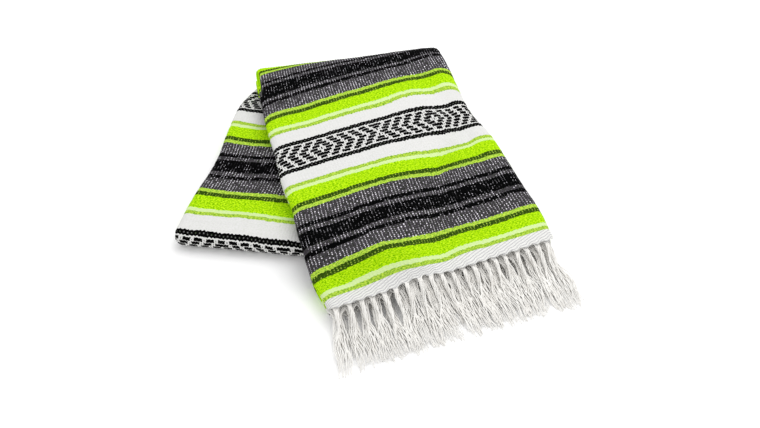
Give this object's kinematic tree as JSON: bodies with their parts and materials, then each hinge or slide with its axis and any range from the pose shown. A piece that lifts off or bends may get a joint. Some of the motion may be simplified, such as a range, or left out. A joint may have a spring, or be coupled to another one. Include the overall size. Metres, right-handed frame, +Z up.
{
  "type": "folded falsa blanket",
  "caption": "Striped, fringed falsa blanket, folded into a thick strip and lapped over itself in a V, to lie flat on a surface.",
  "frame": {"origin": "on the surface that the blanket rests on, below the middle of its box", "axes": "+Z up from that surface, +Y from the fringed hem towards the top fold, +X to the right as seen from the fringed hem"},
  "size_m": [0.5422, 0.5769, 0.0621],
  "materials": {
    "striped_weave": "coarse woven cotton blend, matt",
    "folded_layers": "coarse woven cotton blend, matt",
    "fringe_yarn": "twisted cotton yarn, matt"
  },
  "bodies": {
    "root": {"front_arm_cloth": "striped_weave", "top_fold_cloth": "striped_weave", "back_arm_cloth": "striped_weave", "front_arm_layers": "folded_layers", "back_arm_layers": "folded_layers", "fringe_top": "fringe_yarn", "fringe_middle": "fringe_yarn", "fringe_low": "fringe_yarn"}
  },
  "joints": []
}
